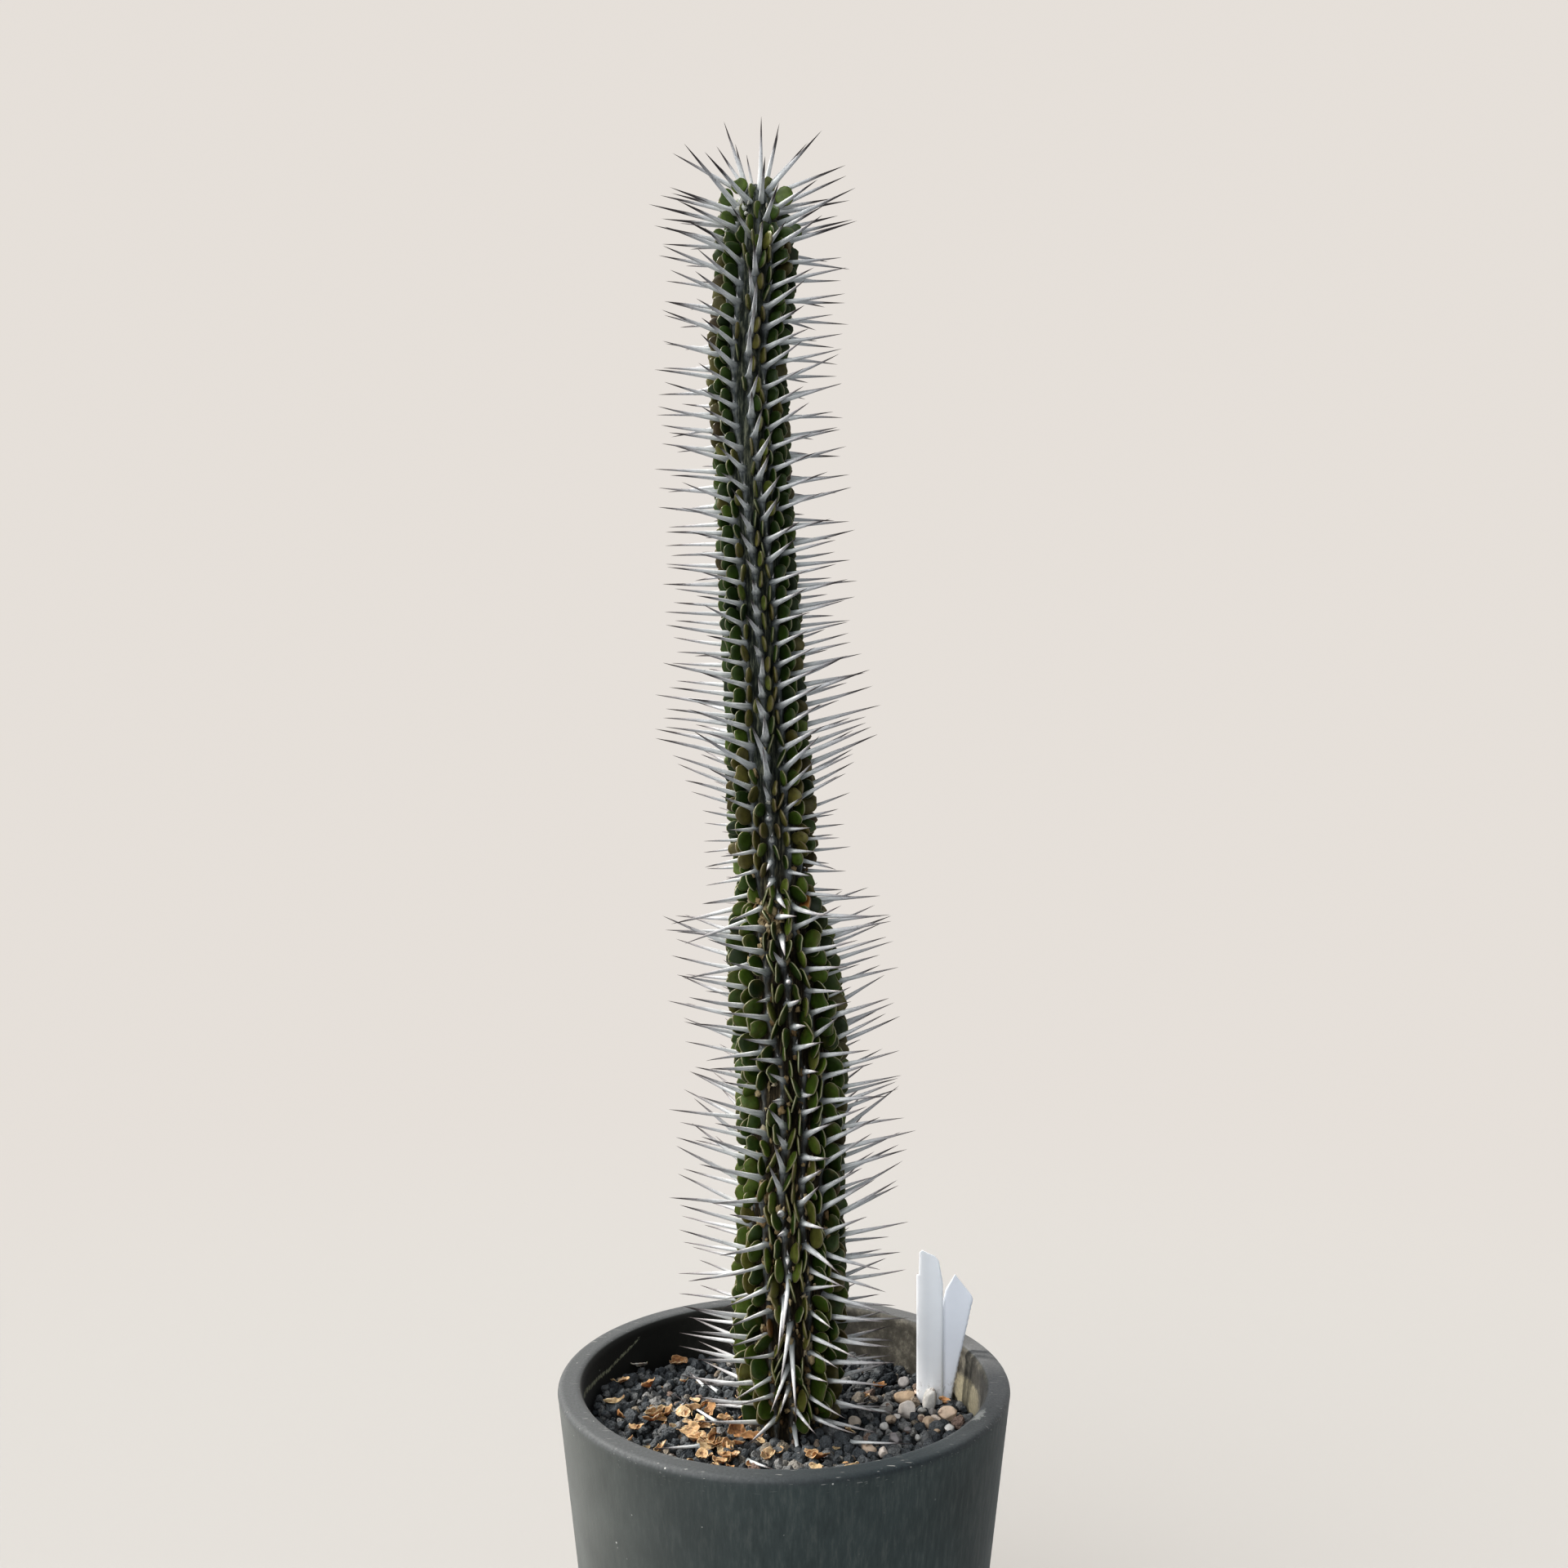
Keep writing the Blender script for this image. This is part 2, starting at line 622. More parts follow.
def make_bark(look, nodes):
    """The stem's skin, furrowed, with a rib along each row and a cushion under each spine."""
    heights = np.linspace(STEM_FOOT, STEM_TIP, BARK_RINGS)
    degrees = np.arange(BARK_SIDES) * 360 / BARK_SIDES
    grid_height, grid_degrees = np.meshgrid(heights, degrees, indexing="ij")
    radius = value_at(BARK_RADIUS, grid_height)
    cushion = np.zeros_like(radius)
    for node in nodes:
        rings = np.abs(heights - node["height"]) < CUSHION_REACH
        around = wrapped(grid_degrees[rings] - node["degrees"])
        across = np.radians(around) * radius[rings] / CUSHION_WIDTH
        up = grid_height[rings] - node["height"]
        up = np.where(up > 0, up / CUSHION_ABOVE, up / CUSHION_BELOW)
        cushion[rings] = np.maximum(cushion[rings], np.exp(-(across ** 2) - up ** 2))
    axis = axis_point(grid_height)
    directions = level_direction(grid_degrees)
    surface = (axis + directions * radius[..., None]).reshape(-1, 3)
    furrows = roughness_at(surface, FURROWS, 1).reshape(radius.shape)
    crumbs = roughness_at(surface, CRUMBS, 2, 2).reshape(radius.shape)
    rib = np.zeros_like(radius)
    for part in STEM_PARTS:
        away = wrapped(grid_degrees - value_at(part["turn"], grid_height), 360 / part["rows"])
        within = (grid_height > part["low"] - RIB_BELOW) & (grid_height < part["high"] + RIB_ABOVE)
        rib = np.where(within, bell(np.radians(away) * radius, RIB_WIDTH), rib)
    growing = smoothstep(-grid_height, -STEM_TIP, TAPER - STEM_TIP)
    coarse = np.where(grid_height > WAIST, YOUNG_SHARE, 1.0)
    rough = (FURROW_HEIGHT * furrows + CRUMB_HEIGHT * crumbs) * coarse
    relief = CUSHION_HEIGHT * cushion + RIB_HEIGHT * rib + rough
    skin = axis + directions * (radius + relief * growing)[..., None]
    corky = np.pad(np.maximum(cushion, 0.5 * rib).ravel(), 1)
    heap = Heap()
    heap.add_closed(axis_point(STEM_FOOT), skin, axis_point(STEM_TIP) + 2 * UP, cushion=corky)
    return heap.build("stem_bark", look, "plant", "plant")


# Spines: places along one and the radius there; the first radius is that of the end sunk into the bark
SPINE_SIDES = 8
SPINE_PLACES = np.array([0, 0.035, 0.09, 0.2, 0.36, 0.55, 0.73, 0.87, 0.96])
SPINE_RADII = np.array([2.2, 2.2, 1.82, 1.46, 1.22, 1.03, 0.79, 0.51, 0.27, 0.10])
SPINE_FLATNESS = 0.92
USUAL_SPINE = 33
SPINE_GRAIN = 1.1
# Low in front some spines droop and more are slimmer: how far to each side, and the share or the thickness
DROOP_SIDE = 16
DROOP_SHARE = 0.6
SLIM_SIDE = 40
SLIMMER = 0.8
# The shares of all spines that are short, and that have a spur above them
SHORT_SHARE = 0.04
SPUR_SHARE = 0.75


def add_spine(heap, draw, root, direction, length, bend=0.0, thickness=1.0, dark_from=0.8, sunk=2.5):
    """A tapering spine with a flared root, sunk into the bark, bent a little upwards or downwards."""
    helper = np.array([1.0, 0, 0]) if abs(direction[2]) > 0.9 else UP
    side = unit(np.cross(direction, helper))
    other = SPINE_FLATNESS * np.cross(direction, side)
    angles = circle(SPINE_SIDES)
    spokes = np.cos(angles)[:, None] * side + np.sin(angles)[:, None] * other
    places = np.concatenate([[-sunk / length], SPINE_PLACES])
    share = np.clip(places, 0, 1)
    rise = UP * bend * length
    centres = root + np.outer(places * length, direction) + np.outer(share ** 2, rise)
    rings = centres[:, None, :] + (SPINE_RADII * thickness)[:, None, None] * spokes
    ring_grain = np.stack([SPINE_GRAIN * np.cos(angles), SPINE_GRAIN * np.sin(angles), 0 * angles], -1)
    grain = (ring_grain + places[:, None, None] * length * UP).reshape(-1, 3)
    grain = np.vstack([0 * UP, grain, length * UP]) + draw.uniform(0, 400, 3)
    along = np.pad(np.repeat(share, SPINE_SIDES), 1, constant_values=(0, 1))
    tip = root + direction * length + rise
    heap.add_closed(centres[0], rings, tip, along=along, grain=grain, dark_from=dark_from)


# Leaves: rings from the middle of one face round the rim to the middle of the other
LEAF_SIDES = 16
LEAF_RINGS = np.array([0.52, 0.91, 1.0, 1.0, 0.91, 0.52])
LEAF_RIM = np.array([0, 0.1, 1, 1, 0.1, 0])
LEAF_FULLNESS = np.array([0.97, 0.84, 0.26, -0.26, -0.84, -0.97])
LEAF_THICKNESS = 0.62
LEAF_WAVES = [(2, 0.05), (3, 0.03), (5, 0.012)]
# Leaves of another tone: from and to which height and direction, the share that has it, and the tones
ODD_LEAVES = [
    (480, 760, -32, 32, 0.65, 0.46, 0.62), (0, 480, -32, 32, 0.30, 0.42, 0.56),
    (432, 500, -200, 200, 0.50, 0.50, 0.72), (560, 725, -140, -62, 0.60, 0.52, 0.80),
    (0, 760, 60, 200, 0.20, 0.60, 0.80),
]
# Strips of the stem where few leaves grow: from and to which height, which direction, and the share missing
BARE_STRIPS = [(480, 708, -14, 0.85), (325, 382, -32, 0.6), (178, 250, 4, 0.35)]
BARE_WIDTH = 12
# The shares of the leaves that are missing elsewhere, that are notched, and of the old ones that are dying
MISSING_SHARE = 0.04
NOTCHED_SHARE = 0.5
DYING_SHARE = 0.02


def add_leaf(heap, draw, root, out, up, depth, height, tone):
    """A thick round leaf: two faces and a rim, broad at its outer end, notched there on some."""
    angles = circle(LEAF_SIDES) + pi / LEAF_SIDES
    notch = draw.uniform(0.12, 0.36) if draw.random() < NOTCHED_SHARE else 0.0
    outline = 1 - notch * bell(wrapped(angles, 2 * pi), 0.36) - 0.07 * (1 - np.cos(angles))
    outline = outline + wavy(draw, angles, LEAF_WAVES)
    leaning = angles + radians(draw.uniform(-14, 14))
    reach = LEAF_RINGS[:, None] * outline
    u = reach * np.cos(leaning)
    v = reach * np.sin(leaning)
    cup = draw.uniform(-0.08, 0.14)
    twist = draw.uniform(-0.14, 0.14)
    normal = np.cross(out, up)
    lift = (LEAF_THICKNESS * LEAF_FULLNESS)[:, None] + height / 2 * (cup * reach ** 2 + twist * u * v)
    blade = depth / 2 * (0.96 + 1.04 * u)[..., None] * out + height / 2 * v[..., None] * up
    rings = root + blade + lift[..., None] * normal
    middle = root + depth / 2 * out
    skin = LEAF_THICKNESS * normal
    rim = np.pad(np.repeat(LEAF_RIM, LEAF_SIDES), 1)
    heap.add_closed(middle + skin, rings, middle - skin, -1, rim=rim, tone=tone)


def leaf_tone(draw, height, facing):
    """Where a leaf is on the way from deep green through fresh green, olive and maroon to a dying orange."""
    tone = draw.normal(0.15, 0.08) if height > YOUNG_FROM else draw.normal(0.25, 0.11)
    chance = draw.random()
    if height < 300 and -140 < facing < -45:
        tone += draw.uniform(0.0, 0.2)
    for low, high, left, right, share, least, most in ODD_LEAVES:
        if low < height < high and left < facing < right and chance < share:
            tone = draw.uniform(least, most)
    if draw.random() < DYING_SHARE and height < WAIST:
        tone = draw.uniform(0.85, 0.97)
    return np.clip(tone, 0, 0.97)


def bare(draw, height, facing):
    """Whether a leaf is missing here."""
    for low, high, strip, share in BARE_STRIPS:
        if low < height < high and abs(facing - strip) < BARE_WIDTH and draw.random() < share:
            return True
    return draw.random() < MISSING_SHARE


def add_node(spines, leaves, draw, node):
    """One spine on its cushion, mostly with a spur, and a pair of leaves just above it."""
    height = node["height"]
    degrees = node["degrees"]
    loose = node["loose"]
    young = height > YOUNG_FROM
    bark = value_at(BARK_RADIUS, height)
    along = stem_direction(height)
    facing = degrees + loose * draw.normal(0, 6)
    rise = value_at(SPINE_RISE, height) + loose * draw.normal(0, 6)
    if height < SPLAYED_BELOW and abs(facing) < DROOP_SIDE and draw.random() < DROOP_SHARE:
        rise -= draw.uniform(15, 50)
    length = value_at(SPINE_LENGTH, height) * draw.uniform(0.84, 1.04)
    if draw.random() < SHORT_SHARE:
        length *= draw.uniform(0.4, 0.7)
    root = axis_point(height) + outward_at(height, degrees) * (bark + 0.9)
    dark_from = draw.uniform(0.58, 0.90) if young else draw.uniform(0.66, 0.96)
    thickness = sqrt(length / USUAL_SPINE) * draw.uniform(0.90, 1.08)
    if height < SPLAYED_BELOW and abs(facing) < SLIM_SIDE:
        thickness *= SLIMMER
    direction = raised(height, facing, rise)
    add_spine(spines, draw, root, direction, length, draw.normal(0.01, 0.03), thickness, dark_from)
    if draw.random() < SPUR_SHARE:
        spur = raised(height, degrees + draw.uniform(-20, 20), draw.uniform(40, 75))
        spur_root = root + along * 1.3 - outward_at(height, degrees) * 0.4
        add_spine(spines, draw, spur_root, spur, draw.uniform(2.2, 4.0), 0, 0.45, 1.2, 1.0)
    size = value_at(LEAF_HEIGHT, height)
    unrest = 1.0 if young else 1.9
    for side in (-1, 1):
        root_turn = degrees + side * draw.uniform(6.5, 9.5)
        if bare(draw, height, root_turn):
            continue
        place = height + 4.8 + draw.uniform(-0.7, 0.7)
        leaf_root = axis_point(place) + outward_at(place, root_turn) * (bark - 0.4)
        pointing = outward_at(place, degrees + side * draw.uniform(13, 26))
        out, up = turned(pointing, along, draw.uniform(-5, 10) * unrest)
        up, _ = turned(up, np.cross(out, up), draw.uniform(-14, 14) * unrest)
        depth = (value_at(LEAFY_RADIUS, height) - bark + 0.4) * draw.uniform(0.92, 1.05)
        if not young:
            size *= draw.uniform(0.86, 1.10)
        tone = leaf_tone(draw, height, root_turn)
        add_leaf(leaves, draw, leaf_root, out, up, depth, size * draw.uniform(0.9, 1.08), tone)


# The crown's spines: height and direction of the root, then the spine's own direction, rise and length
CROWN_SPINES = [
    (757, -119, -74, 70, 35), (756, 30, 10, 85, 34), (757, 101, 78, 77, 33), (757, 101, 111, 76, 30),
    (757, -101, -125, 74, 26), (757, -166, -92, 80, 20), (757, 164, 167, 80, 20), (749, 19, 5, 20, 30),
    (756, 79, 90, 48, 40), (757, 101, 96, 50, 32), (740, 27, 12, 9, 34), (755, 101, 80, 18, 40),
    (749, 101, 79, 20, 39), (747, 79, 40, 8, 34), (740, 79, 78, 21, 42), (747, 101, 90, 10, 38),
    (749, 101, 113, 18, 34), (737, 79, 42, 5, 34), (739, 101, 107, 19, 34), (736, 101, 90, 13, 38),
    (731, 79, 82, 14, 40), (729, 35, 17, 1, 30), (745, -60, -42, 28, 44), (756, -101, -75, 24, 39),
    (749, -23, -35, 19, 37), (757, -101, -95, 57, 27), (746, -79, -71, 13, 36), (748, -101, -90, 15, 35),
    (747, -101, -90, 13, 40), (740, -79, -80, 10, 44), (738, -79, -50, 8, 37), (741, -101, -90, 6, 38),
    (730, -79, -41, 4, 36), (731, -79, -81, 10, 41), (731, -101, -90, 3, 37), (732, -17, -16, 6, 32),
    (753, 175, 170, 40, 36), (754, 140, 140, 52, 36), (753, -145, -145, 46, 37), (749, 155, 155, 25, 37),
]
# The crown's leaves: centre from the stem's axis, height, lean of the leaf and turn away from the right in
# degrees, depth, height across and tone
CROWN_LEAVES = [
    (-7.6, -4, 758.3, 127, 8, 8.2, 8.4, 0.38), (-13.8, -4, 752.8, 160, 14, 8.0, 9.0, 0.30),
    (-15.0, 3, 751.5, 185, 20, 8.0, 8.0, 0.46), (-1.4, -6, 754.5, 95, 62, 9.0, 8.4, 0.40),
    (0.5, -9, 744.7, 90, 62, 9.6, 8.4, 0.38), (6.2, 0, 760.0, 82, 50, 9.0, 8.6, 0.49),
    (13.2, -2, 754.0, 40, -8, 9.8, 9.4, 0.40), (-3.0, -11, 737.9, 92, 66, 9.0, 8.2, 0.40),
    (-13.5, -6, 741.6, 165, 30, 8.6, 8.2, 0.36), (7.0, -10, 735.0, 30, -40, 8.4, 8.4, 0.12),
    (17.0, -3, 737.0, 10, -12, 8.6, 9.0, 0.26), (-17.6, 0, 735.6, 172, 10, 8.0, 8.6, 0.36),
    (8.0, 6, 753.0, 40, 50, 8.4, 8.6, 0.36), (-8.0, 7, 753.0, 140, -50, 8.4, 8.6, 0.34),
    (1.0, 10, 750.0, 60, 85, 8.4, 8.6, 0.36), (14.0, 6, 745.0, 12, 30, 8.4, 8.6, 0.22),
    (-13.0, 8, 743.0, 170, -40, 8.4, 8.6, 0.22), (3.0, 15, 741.0, 20, 80, 8.4, 8.6, 0.22),
    (0.8, -13, 727.8, 88, 60, 8.2, 8.0, 0.42), (3.4, -11.5, 734.5, 80, 50, 8.4, 8.0, 0.16),
    (10.0, -9, 728.4, 50, -48, 8.2, 8.4, 0.34), (-7.5, -9, 733.0, 150, 42, 8.4, 8.4, 0.20),
    (-5.5, -8, 744.5, 120, 50, 8.0, 8.0, 0.34), (7.5, -7.5, 744.5, 55, -40, 8.2, 8.4, 0.28),
]


def add_crown(spines, leaves, draw):
    """Long young spines and rising leaves round the growing tip."""
    for height, root_turn, turn, rise, length in CROWN_SPINES:
        root = axis_point(height) + level_direction(root_turn) * value_at(BARK_RADIUS, height) * 0.8
        direction, _ = turned(level_direction(turn), UP, rise)
        thickness = sqrt(length / USUAL_SPINE)
        add_spine(spines, draw, root, direction, length, 0, thickness, draw.uniform(0.42, 0.70))
    for x, y, height, lean, turn, depth, across, tone in CROWN_LEAVES:
        out, up = turned(level_direction(turn + 90), UP, lean)
        root = axis_point(height) + [x, y, 0] - out * depth / 2
        add_leaf(leaves, draw, root, out, up, depth, across, tone)


# Woolly and dry tufts on the stem: height, direction, distance from the bark, width and tone
TUFTS = [
    (746, -38, 2.5, 4.0, 0.0), (743, -26, 1.6, 2.6, 0.05), (750, -46, 2.2, 3.0, 0.0),
    (748, -20, 2.0, 2.4, 0.05), (747, 30, 1.2, 1.8, 0.15), (471, -4, 2.5, 2.6, 0.06),
    (495, -10, 2.0, 3.0, 0.45), (484, -28, 2.0, 2.6, 0.5), (423, -24, 1.5, 4.4, 0.35),
    (421, -8, 2.2, 4.0, 0.45), (418, -18, 2.4, 4.2, 0.5), (415, -2, 1.5, 3.6, 0.6), (425, 4, 1.2, 3.4, 0.4),
    (419, 14, 1.0, 3.2, 0.7), (412, -26, 1.4, 3.2, 0.6), (427, -12, 1.6, 3.2, 0.3),
]
# The crumbly tuft at the waist: number of bits, and the middle and the spread of height and direction
WAIST_BITS = 60
WAIST_MIDDLE = (417, -16)
WAIST_SPREAD = (6, 12)
# Fallen spines: place of the root, heading and length
FALLEN_SPINES = [
    (-31, -6, -144, 42), (-39, 34, -150, 19), (-32, 28, -143, 18), (-38, -30, -74, 26), (-52, 4, 160, 20),
    (30, -26, 75, 30), (38, 10, 60, 22), (-16, -44, 50, 18),
]


def make_tufts(look, draw, nodes):
    """Wool at the tip, a crumbly tuft at the waist and dried scales beside the lower spines."""
    tufts = list(TUFTS)
    for node in nodes:
        height = node["height"]
        for _ in range(4 if height < 290 else 2 if height < 440 else 0):
            turn = node["degrees"] + draw.uniform(-13, 13)
            size = draw.uniform(1.6, 3.4)
            place = height + draw.uniform(-4, 3)
            tufts.append((place, turn, draw.uniform(0, 3), size, draw.uniform(0.25, 0.9)))
    for _ in range(WAIST_BITS):
        place = draw.normal(WAIST_MIDDLE, WAIST_SPREAD)
        tufts.append((*place, draw.uniform(0.5, 4.0), draw.uniform(1.4, 3.6), draw.uniform(0.2, 0.75)))
    heap = Heap()
    points, faces = icosphere(2)
    for height, degrees, distance, width, tone in tufts:
        away = value_at(BARK_RADIUS, height) + distance
        rough = roughness_at(points + draw.uniform(0, 90, 3), 0.45, 8)
        shape = points * (1 + 0.85 * rough)[:, None] * draw.uniform(0.45, 1.2, 3) * [1, 1, 1.5]
        centre = axis_point(height) + outward_at(height, degrees) * away
        heap.add(shape * width / 2 + centre, faces, tone=tone)
    heap.build("dry_tufts", look, "plant", "plant")


def add_fallen_spines(spines, draw):
    """Old spines that came off and lie on the gravel round the foot."""
    for x, y, heading, length in FALLEN_SPINES:
        direction = unit(level_direction(heading) + UP * draw.uniform(0.0, 0.10))
        root = np.array([x, y, ground_level(x) + 3.4])
        add_spine(spines, draw, root, direction, length, 0, 0.62, draw.uniform(0.3, 0.7), 0.0)


def make_plant():
    draw = np.random.default_rng(21)
    nodes = find_nodes(draw)
    spines = Heap()
    leaves = {"lower": Heap(), "upper": Heap()}
    for node in nodes:
        add_node(spines, leaves["lower" if node["height"] < WAIST else "upper"], draw, node)
    add_crown(spines, leaves["upper"], draw)
    add_fallen_spines(spines, draw)
    make_bark(bark_look(), nodes)
    spines.build("spines", spine_look(), "plant", "plant")
    green = leaf_look()
    for name, heap in leaves.items():
        heap.build(f"leaves_{name}", green, "plant", "plant")
    make_tufts(tuft_look(), draw, nodes)


# River pebbles over the CAD's, in its order: tone, half sizes and turn in degrees
PEBBLES = [
    (0.62, (5.3, 4.2, 3.6), 10), (0.92, (4.6, 4.4, 4.4), 40), (0.38, (3.3, 3.0, 5.6), 5),
    (0.66, (3.2, 3.1, 3.1), 0), (0.70, (4.9, 3.8, 3.7), -12), (0.84, (2.7, 2.0, 1.9), -20),
    (0.98, (3.1, 2.3, 2.0), 25), (0.25, (3.7, 3.3, 3.2), 15), (0.05, (3.9, 3.7, 3.3), 0),
    (0.72, (4.2, 2.8, 2.7), -25), (0.88, (2.7, 2.3, 2.4), 30), (0.50, (3.2, 2.7, 2.8), 20),
]
# Smaller pebbles among them: place, width and tone
SMALL_PEBBLES = [
    (65.9, 11.2, 4.7, 0.22), (70.8, 11.2, 4.3, 0.12), (64.6, 3.1, 4.6, 0.55), (83.4, 4.9, 3.2, 0.60),
    (70.8, -10, 3.4, 0.64), (67.0, -11.6, 3.2, 0.60), (50.3, 1.3, 5.4, 0.55), (53.4, 5.8, 4.0, 0.95),
    (59.8, 43, 7.0, 0.10), (65.6, 32.5, 4.5, 0.80), (47, -5.6, 4.9, 0.35), (57.5, -9.0, 4.2, 0.08),
    (61.5, -16.5, 3.8, 0.25),
]
# The tags: each one's measures, with the place where it goes into the gravel
TAG_BURIED = 42
TAG_1 = {
    "x": 71.2, "y": 26.3, "width": 12.8, "length": 73, "shoulder": 61, "head": 9.8, "bow": 1.7, "turn": 0.12,
}
TAG_2 = {"x": 74.6, "y": 29.5, "width": 14.2, "length": 61, "slant": 8, "shoulder": 51, "lean": 12.5}
TAG_THICKNESS = 0.7
STRIP_COLUMNS = 14

# The gravel: its layers, each with the grid's pitch, smallest and largest grain, how deep it sinks and the
# share of the places that has a grain; and the sizes from which a grain counts as large and gets more faces
GRAVEL_LAYERS = [(5.0, 1.7, 2.9, 0.45, 1.0), (7.4, 1.8, 4.0, -0.15, 0.85)]
LARGE_FROM = 2.3
FINEST_FROM = 3.3
ROW_PITCH = 0.866
BED_SIDES = 120
BED_DEPTH = 1.8
CLEARANCE = 0.35


def icosphere(subdivisions):
    """A sphere of radius 1, as points and triangles."""
    form = bmesh.new()
    bmesh.ops.create_icosphere(form, subdivisions=subdivisions, radius=1)
    points = np.array([vertex.co[:] for vertex in form.verts])
    faces = np.array([[vertex.index for vertex in face.verts] for face in form.faces])
    form.free()
    return points, faces


def chipped(draw, points, cuts=9):
    """A sphere's points moved in to a few random planes, which leaves a blunt angular stone."""
    left = points.copy()
    for _ in range(cuts):
        normal = unit(draw.normal(size=3))
        limit = draw.uniform(0.55, 0.85)
        left -= np.outer(np.maximum(left @ normal - limit, 0), normal) * 0.9
    return left


def node_centre(name):
    low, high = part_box(name)
    return np.array((low + high) / 2) / MM


def round_things():
    """The stem and the pebbles: place, radius, and the share of a grain's size that stays outside."""
    stem = axis_point(SOIL_LEVEL)
    things = [(stem[0], stem[1], value_at(BARK_RADIUS, SOIL_LEVEL), 0.4)]
    for number, (tone, size, turn) in enumerate(PEBBLES, 1):
        x, y, z = node_centre(f"pebble_{number:02d}")
        things.append((x, y, 0.75 * max(size[:2]), 0.45))
    return things + [(x, y, 0.35 * width, 0.4) for x, y, width, tone in SMALL_PEBBLES]


def clear_of(things, x, y, size):
    """Whether a grain at this place clears the tags and the round things."""
    for tag in (TAG_1, TAG_2):
        if abs(x - tag["x"]) < tag["width"] / 2 + 0.8 * size and abs(y - tag["y"]) < 0.9 * size + 1:
            return False
    return all(hypot(x - a, y - b) >= radius + share * size for a, b, radius, share in things)


def grid_places(draw, pitch):
    """Places of a triangular grid over the pot's mouth, each moved a little."""
    rows = int(MOUTH_RADIUS / (pitch * ROW_PITCH)) + 1
    for row in range(-rows, rows + 1):
        for column in range(-rows, rows + 1):
            x = (column + 0.5 * (row % 2)) * pitch + draw.uniform(-0.3, 0.3) * pitch
            y = row * pitch * ROW_PITCH + draw.uniform(-0.3, 0.3) * pitch
            yield x, y


def make_gravel(look):
    """Loose grains over a dark bed, clear of what stands in the gravel."""
    draw = np.random.default_rng(7)
    fine = icosphere(2)
    finest = icosphere(3)
    things = round_things()
    heaps = {"gravel_small": Heap(), "gravel_large": Heap()}
    for pitch, smallest, largest, sink, share in GRAVEL_LAYERS:
        for x, y in grid_places(draw, pitch):
            size = draw.uniform(smallest, largest)
            chosen = draw.random()
            spread = draw.uniform(0.78, 1.12, 3)
            usual = draw.random() < 0.94
            tone = np.clip(draw.normal(0.45, 0.2), 0, 0.88) if usual else draw.uniform(0.88, 1)
            turn = draw.normal(size=(3, 3))
            if chosen > share:
                continue
            z = ground_level(x) - sink * size + draw.uniform(-0.6, 0.6)
            if hypot(x, y) > wall_radius(z) - 0.95 * size or not clear_of(things, x, y, size):
                continue
            points, faces = finest if size > FINEST_FROM else fine
            shape = chipped(draw, points) * spread
            bumps = roughness_at(shape + draw.uniform(0, 90, 3), 0.7, 3)
            shape = shape * (1.06 + 0.26 * bumps)[:, None] @ np.linalg.qr(turn)[0]
            heap = heaps["gravel_large" if size > LARGE_FROM else "gravel_small"]
            heap.add(shape * size + [x, y, z], faces, tone=tone)
    for name, heap in heaps.items():
        heap.build(name, look, "gravel", "soil").data.shade_flat()


def lathe(profile, sides):
    """Points of a profile (radius, height) carried round the axis, ring by ring."""
    return np.array([[r * cos(a), r * sin(a), z] for r, z in profile for a in circle(sides)])


def make_bed(look):
    """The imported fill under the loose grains, down to the pot's floor."""
    bottom = FLOOR_HEIGHT + CLEARANCE
    level = SOIL_LEVEL - BED_DEPTH
    foot = [(0.5, bottom), (FLOOR_RADIUS - 3.9, bottom)]
    wall = [(wall_radius(z) - CLEARANCE, z) for z in (WALL_FOOT, 60, 100, 140, 160, SOIL_LEVEL - 3)]
    top = [(radius, level) for radius in np.linspace(wall[-1][0] - 0.4, 1.5, 46)]
    profile = foot + wall + top
    points = lathe(profile, BED_SIDES)
    upper = points[:, 2] > SOIL_LEVEL - 3.5
    points[upper, 2] += ground_level(points[upper, 0]) - SOIL_LEVEL
    points[upper, 2] += 0.9 * roughness_at(points[upper], 3.0, 4)
    heap = Heap()
    heap.add_closed(bottom * UP, points.reshape(len(profile), BED_SIDES, 3), level * UP)
    return heap.build("gravel_bed", look, "gravel", "soil")


def add_pebble(heap, draw, centre, size, turn, tone, sphere):
    """A worn stone: round if it is flat, rough and blunt if it stands on end."""
    points, faces = sphere
    standing = size[2] > 1.5 * size[0]
    shape = chipped(draw, points, 6)
    if standing:
        shape = np.sign(points) * np.abs(points) ** 0.75
    bumps = roughness_at(shape + draw.uniform(0, 90, 3), 1.5, 5)
    shape = shape * (1.02 + (0.24 if standing else 0.15) * bumps)[:, None] * size
    shape[:, 0] += 0.18 * shape[:, 2] * standing
    x, y = turned(shape[:, 0], shape[:, 1], -turn)
    heap.add(np.stack([x, y, shape[:, 2]], -1) + centre, faces, tone=tone)


def make_pebbles(look):
    draw = np.random.default_rng(11)
    sphere = icosphere(4)
    for number, (tone, size, turn) in enumerate(PEBBLES, 1):
        name = f"pebble_{number:02d}"
        heap = Heap()
        add_pebble(heap, draw, node_centre(name), size, turn, tone, sphere)
        heap.build(f"{name}_worn", look, "pebble", name)
    heap = Heap()
    sphere = icosphere(3)
    for x, y, width, tone in SMALL_PEBBLES:
        size = np.array([0.5, 0.42, 0.38]) * width
        centre = np.array([x, y, ground_level(x) + 0.8 * size[2]])
        add_pebble(heap, draw, centre, size, draw.uniform(0, 90), tone, sphere)
    heap.build("small_pebbles", look, "pebble")


